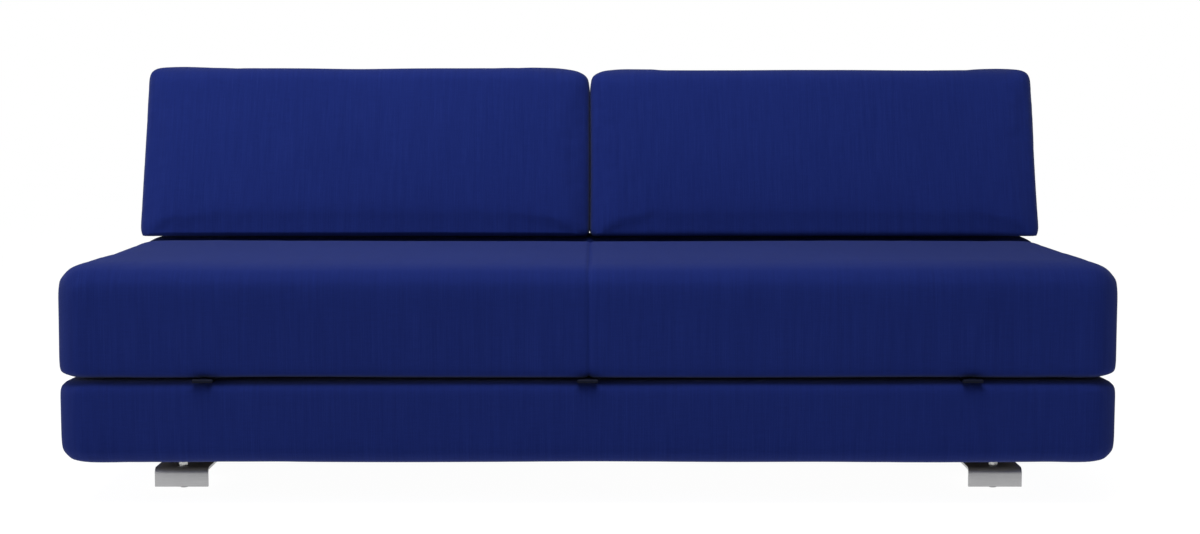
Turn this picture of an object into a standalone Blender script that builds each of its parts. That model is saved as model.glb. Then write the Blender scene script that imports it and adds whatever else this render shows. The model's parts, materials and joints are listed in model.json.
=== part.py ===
"""Futon sofa bed: a seat mattress that flips forward off a base mattress, and two lift-off back cushions.

Metres, +Z up, front towards -Y, origin on the floor under the middle of the whole object.
"""

import math

import bmesh
import bpy
from mathutils import Matrix, Vector

# Overall sizes
BED_WIDTH = 2.000  # both mattresses, side to side
SEAT_DEPTH = 0.700  # the half of the bed that flips out
LEDGE_DEPTH = 0.225  # the fixed rear ledge that carries the cushions
BASE_THICKNESS = 0.160
BASE_CLEARANCE = 0.076  # floor to the underside of the base mattress
CUSHION_HEIGHT = 0.3705
BED_FLOOR_GAP = 0.021  # floor to the flipped seat mattress

# Gaps and fits
TOUCH = 0.0003  # between pieces that rest on each other
FIT = 0.0003  # round a pin, bolt, post or leaf
GROOVE = 0.015  # between the seat and the ledge
LAYER_GAP = 0.008  # between the seat and the base
CUSHION_LIFT = 0.0035  # from the ledge to the cushions
CUSHION_GAP = 0.004  # between the two cushions
SLEEVE_FIT = 0.002  # round a post inside its cushion
FACE_GAP = 0.006  # between the two front faces when the seat lies flipped

# Upholstery
COVER = 0.003  # fabric with its wadding
CORNER_RADIUS = 0.050
SEAT_TOP_RADIUS = 0.030
SPLIT_RADIUS = 0.012  # the mattress edges on both sides of the split
BASE_LOW_RADIUS = 0.035
CUSHION_RADIUS = 0.025
CUSHION_OVERHANG = 0.003  # in front of the ledge
CUSHION_REAR_INSET = 0.010  # in front of the ledge's rear face
FRONT_LEAN = math.radians(20.5)
REAR_LEAN = math.radians(8.0)

# Boards and rails
SEAT_BOARD = 0.015
DECK_BOARD = 0.018
BOARD_INSET = 0.030  # seat board's edge behind the cover
DECK_INSET = 0.070
DECK_JOINT = 0.004  # between the two deck boards
COVER_HEM = 0.055  # how far the base cover is turned in under the deck
RAIL_WIDTH = 0.050
RAIL_SETBACK = 0.105  # from a foot plate's face to its rail
RAIL_END_INSET = 0.130  # from the mattress's side to the long rails' ends

# Ledge frame and posts
BEAM_SECTION = 0.100
BEAM_END_INSET = 0.060
BEAM_TOP_COVER = 0.059  # from the beam to the top of the ledge
BEAM_REAR_COVER = 0.035
UPRIGHT = 0.060
UPRIGHT_INSET = 0.200  # outer uprights' middles from the mattress's sides
POST_WIDTH = 0.040
POST_THICKNESS = 0.006
POST_IN_CUSHION = 0.240
POST_FROM_REAR = 0.050  # post's middle to the cushion's rear face
POST_FROM_SIDE = 0.250

# Feet
FOOT_WIDTH = 0.105
FOOT_SETBACK = 0.185
FOOT_INSET = 0.200  # foot's middle from the mattress's side
FOOT_TOP = 0.043
FOOT_SKIRT_LOW = 0.005
FOOT_PLATE = 0.006
FOOT_BEND = 0.012
FOOT_TAIL = 0.015  # plate behind its rail
GLIDE_BEHIND = 0.028  # glide's axis behind the foot's face
GLIDE_TOP_RADIUS = 0.01125
GLIDE_LOW_RADIUS = 0.009
GLIDE_PAD = 0.010
STUD_RADIUS = 0.005
STUD_TOP = 0.062
NUT_RADIUS = 0.0098
NUT_HEIGHT = 0.008
BOLT_RADIUS = 0.004
BOLT_HEAD_RADIUS = 0.007
BOLT_HEAD = 0.004
BOLT_SPACING = 0.060

# Hinges
HINGE_INSET = 0.280  # outer hinges' middles from the mattress's sides
LEAF_WIDTH = 0.036
LEAF = 0.0018
KNUCKLE_RADIUS = 0.0036
KNUCKLE_GAP = 0.0005
SEAT_KNUCKLE = 0.014
PIN_RADIUS = 0.0016
PIN_HEAD_RADIUS = 0.0029
PIN_HEAD = 0.0010
STRAP_BEHIND = 0.032  # strap's face behind the mattress faces
TAB_LENGTH = 0.080

# Bed legs and pull tabs
LEG_INSET = 0.200  # pivot bolt from the mattress's side
LEG_WIDTH = 0.030
LEG_THICKNESS = 0.004
LEG_FLOOR_GAP = 0.001
LEG_BOLT_DEPTH = 0.040  # of the pivot bolt in the seat board
TAB_SPREAD = 0.350
PULL_WIDTH = 0.040
PULL_THICKNESS = 0.002
PULL_TOP = 0.010  # below the top of the seat
PULL_LENGTH = 0.120

# Places along the width
HALF = BED_WIDTH / 2
RAIL_HALF = HALF - RAIL_END_INSET
BEAM_HALF = HALF - BEAM_END_INSET
UPRIGHT_SPREAD = HALF - UPRIGHT_INSET
FOOT_SPREAD = HALF - FOOT_INSET
HINGE_SPREAD = HALF - HINGE_INSET
LEG_SPREAD = HALF - LEG_INSET

# Levels
BASE_LOW = BASE_CLEARANCE
BASE_HIGH = BASE_LOW + BASE_THICKNESS
HINGE_Z = BASE_HIGH + LAYER_GAP / 2
SEAT_LOW = BASE_HIGH + LAYER_GAP
SEAT_HIGH = 2 * HINGE_Z - BED_FLOOR_GAP
BOARD_MID = (SEAT_LOW + SEAT_HIGH) / 2
BOARD_LOW = BOARD_MID - SEAT_BOARD / 2
BOARD_HIGH = BOARD_MID + SEAT_BOARD / 2
CUSHION_LOW = SEAT_HIGH + CUSHION_LIFT
CUSHION_HIGH = CUSHION_LOW + CUSHION_HEIGHT
DECK_LOW = BASE_LOW + COVER + TOUCH
DECK_HIGH = DECK_LOW + DECK_BOARD
RAIL_LOW = FOOT_TOP + TOUCH
RAIL_HIGH = DECK_LOW - TOUCH
BEAM_HIGH = SEAT_HIGH - BEAM_TOP_COVER
BEAM_LOW = BEAM_HIGH - BEAM_SECTION

# Fore and aft. The overall depth runs from the hinge knuckles to the cushions' rounded top rear edge.
HINGE_AHEAD = FACE_GAP / 2
KNUCKLE_PROUD = HINGE_AHEAD + KNUCKLE_RADIUS
REAR_FILLET = CUSHION_RADIUS * math.tan((math.pi / 2 - REAR_LEAN) / 2)
CUSHION_REACH = (
    (CUSHION_HEIGHT - REAR_FILLET) * math.tan(REAR_LEAN)
    + REAR_FILLET
    - REAR_FILLET / math.cos(REAR_LEAN)
)
BASE_DEPTH = SEAT_DEPTH + GROOVE + LEDGE_DEPTH
OVERALL_DEPTH = KNUCKLE_PROUD + BASE_DEPTH - CUSHION_REAR_INSET + CUSHION_REACH
FRONT = KNUCKLE_PROUD - OVERALL_DEPTH / 2
SEAT_BACK = FRONT + SEAT_DEPTH
LEDGE_FRONT = SEAT_BACK + GROOVE
BACK = LEDGE_FRONT + LEDGE_DEPTH
HINGE_Y = FRONT - HINGE_AHEAD
WEB_OUT = min(LAYER_GAP / 2 - TOUCH, 0.85 * KNUCKLE_RADIUS)  # a web's outer face from the pin's level
STRAP_FRONT = FRONT + STRAP_BEHIND
CUSHION_FRONT = LEDGE_FRONT - CUSHION_OVERHANG
CUSHION_BACK = BACK - CUSHION_REAR_INSET
POST_AXIS = Vector((0, math.sin(REAR_LEAN), math.cos(REAR_LEAN)))

FINISHES = {  # colour, roughness, metallic
    "fabric": ((0.019, 0.030, 0.125), 0.90, 0.0),
    "foam": ((0.78, 0.72, 0.55), 0.95, 0.0),
    "plywood": ((0.62, 0.45, 0.28), 0.70, 0.0),
    "timber": ((0.56, 0.38, 0.21), 0.65, 0.0),
    "foot_metal": ((0.36, 0.36, 0.37), 0.38, 0.9),
    "zinc": ((0.62, 0.62, 0.60), 0.30, 1.0),
    "black_steel": ((0.012, 0.012, 0.014), 0.45, 0.6),
    "black_plastic": ((0.015, 0.015, 0.015), 0.55, 0.0),
    "webbing": ((0.02, 0.025, 0.05), 0.85, 0.0),
}
ROUND_STEPS = 16


def fresh_collection(name):
    made = bpy.data.collections.new(name)
    bpy.context.scene.collection.children.link(made)
    return made


def finish_of(name, finish):
    colour, roughness, metallic = FINISHES[finish]
    made = bpy.data.materials.new(f"{name}_{finish}")
    made.use_nodes = True
    shader = made.node_tree.nodes["Principled BSDF"]
    shader.inputs["Base Color"].default_value = (*colour, 1)
    shader.inputs["Roughness"].default_value = roughness
    shader.inputs["Metallic"].default_value = metallic
    return made


def object_from(name, bm, centre, collection):
    mesh = bpy.data.meshes.new(name)
    bm.to_mesh(mesh)
    bm.free()
    made = bpy.data.objects.new(name, mesh)
    made.location = centre
    collection.objects.link(made)
    return made


def part(name, bm, finish, centre=(0, 0, 0)):
    made = object_from(name, bm, centre, PARTS)
    made.data.materials.append(finish_of(name, finish))
    return made


def tool(name, bm, centre=(0, 0, 0)):
    made = object_from(f"cut_{name}", bm, centre, TOOLS)
    made.hide_render = True
    made.display_type = "WIRE"
    return made


def combine(target, shape, operation):
    step = target.modifiers.new(shape.name, "BOOLEAN")
    step.operation = operation
    step.solver = "EXACT"
    step.object = shape


def carve(target, *shapes):
    for shape in shapes:
        combine(target, shape, "DIFFERENCE")


def middle(low, high):
    return (Vector(low) + Vector(high)) / 2


def block(size):
    bm = bmesh.new()
    bmesh.ops.create_cube(bm, size=1.0)
    bmesh.ops.scale(bm, vec=size, verts=bm.verts)
    return bm


def box_part(name, low, high, finish):
    return part(name, block(Vector(high) - Vector(low)), finish, middle(low, high))


def box_tool(name, low, high):
    return tool(name, block(Vector(high) - Vector(low)), middle(low, high))


def rod(radius, length, along="Z", steps=ROUND_STEPS):
    bm = bmesh.new()
    bmesh.ops.create_cone(
        bm, cap_ends=True, segments=steps, radius1=radius, radius2=radius, depth=length
    )
    turns = {"X": Matrix.Rotation(math.pi / 2, 3, "Y"), "Y": Matrix.Rotation(math.pi / 2, 3, "X")}
    if along in turns:
        bmesh.ops.rotate(bm, cent=(0, 0, 0), matrix=turns[along], verts=bm.verts)
    return bm


def round_edges(bm, chosen, radius):
    if radius > 0:
        bmesh.ops.bevel(
            bm, geom=chosen, offset=radius, segments=3, profile=0.5, affect="EDGES", material=-1
        )


def pad_shape(low, high, corner, top, bottom):
    """A block with rounded upright corners and its own radius round the top and the bottom."""
    size = Vector(high) - Vector(low)
    bm = block(size)
    upright = [e for e in bm.edges if abs(e.verts[0].co.z - e.verts[1].co.z) > size.z / 2]
    round_edges(bm, upright, corner)
    for level, radius in ((size.z / 2, top), (-size.z / 2, bottom)):
        rim = [e for e in bm.edges if all(abs(v.co.z - level) < 1e-6 for v in e.verts)]
        round_edges(bm, rim, radius)
    return bm


def pad_part(name, low, high, finish, corner, top, bottom):
    return part(name, pad_shape(low, high, corner, top, bottom), finish, middle(low, high))


def inset(low, high, amount):
    return Vector(low) + Vector((amount,) * 3), Vector(high) - Vector((amount,) * 3)


def prism(outline, width):
    """An outline in the YZ plane, extruded along X."""
    bm = bmesh.new()
    rim = [bm.verts.new((-width / 2, y, z)) for y, z in outline]
    face = bm.faces.new(rim)
    swept = bmesh.ops.extrude_face_region(bm, geom=[face])["geom"]
    moved = [v for v in swept if isinstance(v, bmesh.types.BMVert)]
    bmesh.ops.translate(bm, vec=(width, 0, 0), verts=moved)
    bmesh.ops.recalc_face_normals(bm, faces=bm.faces)
    return bm


def turned(name, profile, finish, centre, turn=(0, 0, 0)):
    """A profile of (radius, height) from top to bottom, spun round its own Z axis."""
    bm = bmesh.new()
    line = [bm.verts.new((r, 0, z)) for r, z in profile]
    for a, b in zip(line, line[1:]):
        bm.edges.new((a, b))
    made = part(name, bm, finish, centre)
    made.rotation_euler = turn
    spin = made.modifiers.new("spin", "SCREW")
    spin.axis = "Z"
    spin.angle = 2 * math.pi
    spin.steps = ROUND_STEPS
    spin.render_steps = ROUND_STEPS
    spin.use_merge_vertices = True
    spin.merge_threshold = 0.0001
    spin.use_smooth_shade = True
    return made


def ride_on(axis, pieces):
    """Hang pieces, and the tools that cut them, on the empty that marks their joint."""
    hung = set()
    for piece in pieces:
        cuts = [m.object for m in piece.modifiers if m.type == "BOOLEAN"]
        for made in [piece, *cuts]:
            if made.name not in hung and made.parent is None:
                made.parent = axis
                made.location = made.location - axis.location
                hung.add(made.name)


def joint_axis(name, place):
    made = bpy.data.objects.new(name, None)
    made.location = place
    made.empty_display_size = 0.05
    PARTS.objects.link(made)
    return made


def base_rails():
    """Two long rails over the feet, with a left, a centre and a right one between them."""
    half = RAIL_HALF
    front_low = FRONT + FOOT_SETBACK + RAIL_SETBACK
    back_high = BACK - FOOT_SETBACK - RAIL_SETBACK
    rails = {}
    for name, y in (("base_front_rail", front_low), ("base_rear_rail", back_high - RAIL_WIDTH)):
        low = (-half, y, RAIL_LOW)
        high = (half, y + RAIL_WIDTH, RAIL_HIGH)
        rails[name] = box_part(name, low, high, "timber")
    between = (front_low + RAIL_WIDTH + TOUCH, back_high - RAIL_WIDTH - TOUCH)
    places = (
        ("base_left_rail", -half + RAIL_WIDTH / 2),
        ("base_centre_rail", 0),
        ("base_right_rail", half - RAIL_WIDTH / 2),
    )
    for name, x in places:
        low = (x - RAIL_WIDTH / 2, between[0], RAIL_LOW)
        high = (x + RAIL_WIDTH / 2, between[1], RAIL_HIGH)
        box_part(name, low, high, "timber")
    return rails["base_front_rail"], rails["base_rear_rail"]


def foot_plate(name, x, face, inward):
    """A skirt that bends into a flange; inward is +1 for a front foot and -1 for a rear one."""
    tail = RAIL_SETBACK + RAIL_WIDTH + FOOT_TAIL
    outer = [(0, FOOT_SKIRT_LOW)]
    for i in range(7):
        a = math.pi / 2 * i / 6
        outer.append((FOOT_BEND * (1 - math.cos(a)), FOOT_TOP - FOOT_BEND * (1 - math.sin(a))))
    outer.append((tail, FOOT_TOP))
    bm = bmesh.new()
    left = [bm.verts.new((-FOOT_WIDTH / 2, inward * y, z)) for y, z in outer]
    right = [bm.verts.new((FOOT_WIDTH / 2, inward * y, z)) for y, z in outer]
    for i in range(len(outer) - 1):
        ring = (left[i], right[i], right[i + 1], left[i + 1])
        bm.faces.new(ring if inward > 0 else ring[::-1])
    made = part(name, bm, "foot_metal", (x, face, 0))
    wall = made.modifiers.new("plate", "SOLIDIFY")
    wall.thickness = FOOT_PLATE
    wall.offset = -1
    wall.use_even_offset = True
    return made


def foot(tag, side, face, inward, rail):
    """One foot: plate, two bolts up into the rail, nut; returns its glide, which screws up and down."""
    x = side * FOOT_SPREAD
    plate = foot_plate(f"foot_plate_{tag}", x, face, inward)
    under = FOOT_TOP - FOOT_PLATE
    bolt_y = face + inward * (RAIL_SETBACK + RAIL_WIDTH / 2)
    bolt_top = RAIL_HIGH - FOOT_PLATE
    for word, dx in (("outer", side), ("inner", -side)):
        at = (x + dx * BOLT_SPACING / 2, bolt_y, 0)
        hole = tool(
            f"bolt_{tag}_{word}",
            rod(BOLT_RADIUS + FIT, bolt_top - under + 0.02),
            (at[0], at[1], (bolt_top + under - 0.02) / 2 + FIT),
        )
        carve(plate, hole)
        carve(rail, hole)
        profile = [
            (0, bolt_top),
            (BOLT_RADIUS, bolt_top),
            (BOLT_RADIUS, under - TOUCH),
            (BOLT_HEAD_RADIUS, under - TOUCH),
            (BOLT_HEAD_RADIUS * 0.9, under - TOUCH - BOLT_HEAD * 0.5),
            (BOLT_HEAD_RADIUS * 0.55, under - TOUCH - BOLT_HEAD),
            (0, under - TOUCH - BOLT_HEAD),
        ]
        turned(f"foot_bolt_{tag}_{word}", profile, "zinc", at)
    glide_y = face + inward * GLIDE_BEHIND
    stud_hole = tool(f"stud_{tag}", rod(STUD_RADIUS + FIT, 0.05), (x, glide_y, FOOT_TOP))
    carve(plate, stud_hole)
    nut_mid = FOOT_TOP + TOUCH + NUT_HEIGHT / 2
    nut = part(f"glide_nut_{tag}", rod(NUT_RADIUS, NUT_HEIGHT, steps=6), "zinc", (x, glide_y, nut_mid))
    carve(nut, stud_hole)
    pad = [
        (0, STUD_TOP),
        (STUD_RADIUS * 0.8, STUD_TOP),
        (STUD_RADIUS, STUD_TOP - STUD_RADIUS * 0.2),
        (STUD_RADIUS, GLIDE_PAD),
        (GLIDE_TOP_RADIUS, GLIDE_PAD),
        (GLIDE_TOP_RADIUS, GLIDE_PAD * 0.7),
        (GLIDE_LOW_RADIUS, 0),
        (0, 0),
    ]
    glide = turned(f"levelling_glide_{tag}", pad, "black_plastic", (x, glide_y, 0))
    axis = joint_axis(f"axis_glide_{tag}", (x, glide_y, 0))
    ride_on(axis, [glide])


def feet(front_rail, rear_rail):
    for side, word in ((-1, "left"), (1, "right")):
        foot(f"front_{word}", side, FRONT + FOOT_SETBACK, 1, front_rail)
        foot(f"rear_{word}", side, BACK - FOOT_SETBACK, -1, rear_rail)


def cover_shell(name, low, high, corner, top, bottom, open_below=False):
    """A fabric cover: the pad's outer shape less its inside."""
    made = pad_part(name, low, high, "fabric", corner, top, bottom)
    inner_low, inner_high = inset(low, high, COVER)
    if open_below:
        inner_low.z = low[2] - COVER
    hollow = pad_shape(
        inner_low, inner_high, corner - COVER, top - COVER, max(bottom - COVER, 0)
    )
    carve(made, tool(f"hollow_{name}", hollow, middle(inner_low, inner_high)))
    return made


def uprights():
    """The places of the ledge frame's three uprights, as (low, high) corners in plan."""
    mid = BACK - BEAM_REAR_COVER - BEAM_SECTION / 2
    for x in (-UPRIGHT_SPREAD, 0, UPRIGHT_SPREAD):
        yield x - UPRIGHT / 2, x + UPRIGHT / 2, mid - UPRIGHT / 2, mid + UPRIGHT / 2


def base_mattress():
    """Deck boards, foam and cover; returns the foam and the cover, which the hinges pass through."""
    low, high = (-HALF, FRONT, BASE_LOW), (HALF, BACK, BASE_HIGH)
    deck_y = (FRONT + DECK_INSET, BACK - DECK_INSET)
    deck_x = HALF - DECK_INSET
    ends = (("left", -deck_x, -DECK_JOINT / 2), ("right", DECK_JOINT / 2, deck_x))
    for word, x0, x1 in ends:
        box_part(
            f"base_deck_{word}", (x0, deck_y[0], DECK_LOW), (x1, deck_y[1], DECK_HIGH), "plywood"
        )
    foam_low, foam_high = inset(low, high, COVER + TOUCH)
    skin = COVER + TOUCH
    foam = pad_part(
        "base_foam",
        foam_low,
        foam_high,
        "foam",
        CORNER_RADIUS - skin,
        SPLIT_RADIUS - skin,
        BASE_LOW_RADIUS - skin,
    )
    cover = cover_shell("base_cover", low, high, CORNER_RADIUS, SPLIT_RADIUS, BASE_LOW_RADIUS)
    deck = box_tool(
        "deck",
        (-deck_x - TOUCH, deck_y[0] - TOUCH, BASE_LOW - COVER),
        (deck_x + TOUCH, deck_y[1] + TOUCH, DECK_HIGH + TOUCH),
    )
    carve(foam, deck)
    hem = DECK_INSET + COVER_HEM
    below = box_tool(
        "base_underside",
        (-HALF + hem - RAIL_WIDTH / 2, FRONT + hem, BASE_LOW - COVER),
        (HALF - hem + RAIL_WIDTH / 2, BACK - hem, DECK_LOW + TOUCH),
    )
    carve(cover, below)
    for i, (x0, x1, y0, y1) in enumerate(uprights()):
        shaft = box_tool(
            f"upright_{i}",
            (x0 - FIT, y0 - FIT, DECK_HIGH - COVER),
            (x1 + FIT, y1 + FIT, BASE_HIGH + COVER),
        )
        carve(foam, shaft)
        carve(cover, shaft)
    return foam, cover


def posts():
    """Each back post's name and its middle on the cushion's underside."""
    slope = math.tan(REAR_LEAN)
    y = CUSHION_BACK - POST_FROM_REAR
    for side, word in ((-1, "left"), (1, "right")):
        for place, x in (("outer", HALF - POST_FROM_SIDE), ("inner", POST_FROM_SIDE)):
            yield f"{word}_{place}", Vector((side * x, y, CUSHION_LOW)), slope


def leaning_block(width, thickness, start, end, at):
    """A bar along the posts' slope, from start to end metres above the point at; its mesh and its place."""
    bm = block((width, thickness, end - start))
    bmesh.ops.rotate(
        bm, cent=(0, 0, 0), matrix=Matrix.Rotation(-REAR_LEAN, 3, "X"), verts=bm.verts
    )
    return bm, at + POST_AXIS * (start + end) / 2


def ledge():
    """The fixed rear ledge: timber frame on the deck, foam round it, cover, and the four posts."""
    low, high = (-HALF, LEDGE_FRONT, BASE_HIGH + TOUCH), (HALF, BACK, SEAT_HIGH)
    beam_back = BACK - BEAM_REAR_COVER
    beam_low = (-BEAM_HALF, beam_back - BEAM_SECTION, BEAM_LOW)
    beam_high = (BEAM_HALF, beam_back, BEAM_HIGH)
    frame = box_part("ledge_frame", beam_low, beam_high, "timber")
    for i, (x0, x1, y0, y1) in enumerate(uprights()):
        leg = box_tool(
            f"ledge_leg_{i}", (x0, y0, DECK_HIGH + TOUCH), (x1, y1, BEAM_LOW + UPRIGHT / 2)
        )
        combine(frame, leg, "UNION")
    foam_low, foam_high = inset(low, high, COVER + TOUCH)
    foam_low.z = low[2] + TOUCH
    skin = COVER + TOUCH
    foam = pad_part(
        "ledge_foam", foam_low, foam_high, "foam", CORNER_RADIUS - skin, SEAT_TOP_RADIUS - skin, 0
    )
    cover = cover_shell(
        "ledge_cover", low, high, CORNER_RADIUS, SEAT_TOP_RADIUS, 0, open_below=True
    )
    around = Vector((TOUCH, TOUCH, TOUCH))
    channel_low = Vector(beam_low) - around
    channel_low.z = low[2] - COVER
    carve(foam, box_tool("ledge_channel", channel_low, Vector(beam_high) + around))
    foot_of_post = (BEAM_LOW - CUSHION_LOW) / POST_AXIS.z
    for name, at, _ in posts():
        bar, place = leaning_block(
            POST_WIDTH, POST_THICKNESS, foot_of_post + FOOT_PLATE, POST_IN_CUSHION, at
        )
        part(f"back_post_{name}", bar, "black_steel", place)
        slot, place = leaning_block(
            POST_WIDTH + 2 * FIT,
            POST_THICKNESS + 2 * FIT,
            foot_of_post - FOOT_PLATE,
            CUSHION_LIFT / 2,
            at,
        )
        mortise = tool(f"mortise_{name}", slot, place)
        for piece in (frame, foam, cover):
            carve(piece, mortise)


def cushion_shape(x0, x1, shrink):
    """A wedge that leans back: the cube's corners moved on to the four slopes, shrunk all round."""
    bm = bmesh.new()
    bmesh.ops.create_cube(bm, size=1.0)
    low, high = CUSHION_LOW + shrink, CUSHION_HIGH - shrink
    for v in bm.verts:
        z = high if v.co.z > 0 else low
        rise = z - CUSHION_LOW
        front = CUSHION_FRONT + rise * math.tan(FRONT_LEAN) + shrink / math.cos(FRONT_LEAN)
        rear = CUSHION_BACK + rise * math.tan(REAR_LEAN) - shrink / math.cos(REAR_LEAN)
        v.co = (x1 - shrink if v.co.x > 0 else x0 + shrink, rear if v.co.y > 0 else front, z)
    return bm


def soften(made, radius):
    bevel = made.modifiers.new("round", "BEVEL")
    bevel.width = radius
    bevel.segments = 3
    bevel.limit_method = "NONE"
    bevel.use_clamp_overlap = True


def back_cushions():
    """Two cushions, each a foam core with two sleeves and a cover, that lift off along the posts."""
    spans = {"left": (-HALF, -CUSHION_GAP / 2), "right": (CUSHION_GAP / 2, HALF)}
    for word, (x0, x1) in spans.items():
        foam = part(f"cushion_foam_{word}", cushion_shape(x0, x1, COVER + TOUCH), "foam")
        soften(foam, CUSHION_RADIUS - COVER - TOUCH)
        cover = part(f"cushion_cover_{word}", cushion_shape(x0, x1, 0), "fabric")
        soften(cover, CUSHION_RADIUS)
        hollow = tool(f"hollow_cushion_{word}", cushion_shape(x0, x1, COVER))
        soften(hollow, CUSHION_RADIUS - COVER)
        carve(cover, hollow)
        for name, at, _ in posts():
            if not name.startswith(word):
                continue
            slot, place = leaning_block(
                POST_WIDTH + 2 * SLEEVE_FIT,
                POST_THICKNESS + 2 * SLEEVE_FIT,
                -COVER,
                POST_IN_CUSHION + SLEEVE_FIT,
                at,
            )
            sleeve = tool(f"sleeve_{name}", slot, place)
            carve(foam, sleeve)
            carve(cover, sleeve)
        axis = joint_axis(f"axis_cushion_{word}", ((x0 + x1) / 2, CUSHION_BACK, CUSHION_LOW))
        ride_on(axis, [foam, cover])


def seat_mattress():
    """Board in the middle, foam on both sides and the cover; returns them."""
    low, high = (-HALF, FRONT, SEAT_LOW), (HALF, SEAT_BACK, SEAT_HIGH)
    board = box_part(
        "seat_board",
        (-HALF + BOARD_INSET, FRONT + BOARD_INSET, BOARD_LOW),
        (HALF - BOARD_INSET, SEAT_BACK - BOARD_INSET, BOARD_HIGH),
        "plywood",
    )
    skin = COVER + TOUCH
    foam_low, foam_high = inset(low, high, skin)
    corner = CORNER_RADIUS - skin
    upper = pad_part(
        "seat_foam_upper",
        (foam_low.x, foam_low.y, BOARD_HIGH + TOUCH),
        foam_high,
        "foam",
        corner,
        SEAT_TOP_RADIUS - skin,
        0,
    )
    lower = pad_part(
        "seat_foam_lower",
        foam_low,
        (foam_high.x, foam_high.y, BOARD_LOW - TOUCH),
        "foam",
        corner,
        0,
        SPLIT_RADIUS - skin,
    )
    cover = cover_shell("seat_cover", low, high, CORNER_RADIUS, SEAT_TOP_RADIUS, SPLIT_RADIUS)
    return board, upper, lower, cover


def leaf_outline(anchor, grow):
    """The strap and tab of a leaf in side view, up or down from near the pin's level to anchor."""
    way = 1 if anchor > HINGE_Z else -1
    start = HINGE_Z + way * (WEB_OUT - LEAF - grow)
    front = STRAP_FRONT - grow
    inner = STRAP_FRONT + LEAF + grow
    end = STRAP_FRONT + TAB_LENGTH + grow
    far = anchor + way * grow
    near = anchor - way * (LEAF + grow)
    return [(front, start), (front, far), (end, far), (end, near), (inner, near), (inner, start)]


def knuckle_outline(way):
    """A knuckle round the pin with the web that joins it to its strap, in side view."""
    web_in = WEB_OUT - LEAF
    first = -math.asin(web_in / KNUCKLE_RADIUS)
    last = 2 * math.pi - math.asin(WEB_OUT / KNUCKLE_RADIUS)
    back = STRAP_FRONT + LEAF / 2
    shape = [(back, HINGE_Z + way * WEB_OUT), (back, HINGE_Z + way * web_in)]
    for i in range(ROUND_STEPS + 1):
        a = first + (last - first) * i / ROUND_STEPS
        y = HINGE_Y + KNUCKLE_RADIUS * math.cos(a)
        shape.append((y, HINGE_Z - way * KNUCKLE_RADIUS * math.sin(a)))
    return shape


def knuckle(name, x, width, way):
    return tool(name, prism(knuckle_outline(way), width), (x, 0, 0))


def hinge(tag, x, base, seat):
    """Base leaf with two outer knuckles, seat leaf with the middle one, and the pin."""
    side = (LEAF_WIDTH - SEAT_KNUCKLE) / 2 - KNUCKLE_GAP
    pin_hole = tool(
        f"pin_{tag}", rod(PIN_RADIUS + FIT, LEAF_WIDTH * 1.2, "X"), (x, HINGE_Y, HINGE_Z)
    )
    anchors = {"base": DECK_HIGH + TOUCH, "seat": BOARD_LOW - TOUCH}
    leaves = {}
    for word, anchor in anchors.items():
        leaf = part(
            f"hinge_{word}_leaf_{tag}",
            prism(leaf_outline(anchor, 0), LEAF_WIDTH),
            "black_steel",
            (x, 0, 0),
        )
        way = 1 if word == "seat" else -1
        if word == "seat":
            combine(leaf, knuckle(f"knuckle_{tag}", x, SEAT_KNUCKLE, way), "UNION")
        else:
            for end in (-1, 1):
                place = x + end * (LEAF_WIDTH - side) / 2
                combine(leaf, knuckle(f"knuckle_{tag}_{end}", place, side, way), "UNION")
        carve(leaf, pin_hole)
        leaves[word] = leaf
        slot = tool(
            f"leaf_slot_{word}_{tag}", prism(leaf_outline(anchor, FIT), LEAF_WIDTH + 2 * FIT), (x, 0, 0)
        )
        for piece in base if word == "base" else seat:
            carve(piece, slot)
    half = LEAF_WIDTH / 2 + FIT
    pin = [
        (0, half + PIN_HEAD),
        (PIN_HEAD_RADIUS, half + PIN_HEAD),
        (PIN_HEAD_RADIUS, half),
        (PIN_RADIUS, half),
        (PIN_RADIUS, -half),
        (PIN_HEAD_RADIUS, -half),
        (PIN_HEAD_RADIUS, -half - PIN_HEAD),
        (0, -half - PIN_HEAD),
    ]
    turned(f"hinge_pin_{tag}", pin, "zinc", (x, HINGE_Y, HINGE_Z), (0, math.pi / 2, 0))
    return leaves["seat"]


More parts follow.
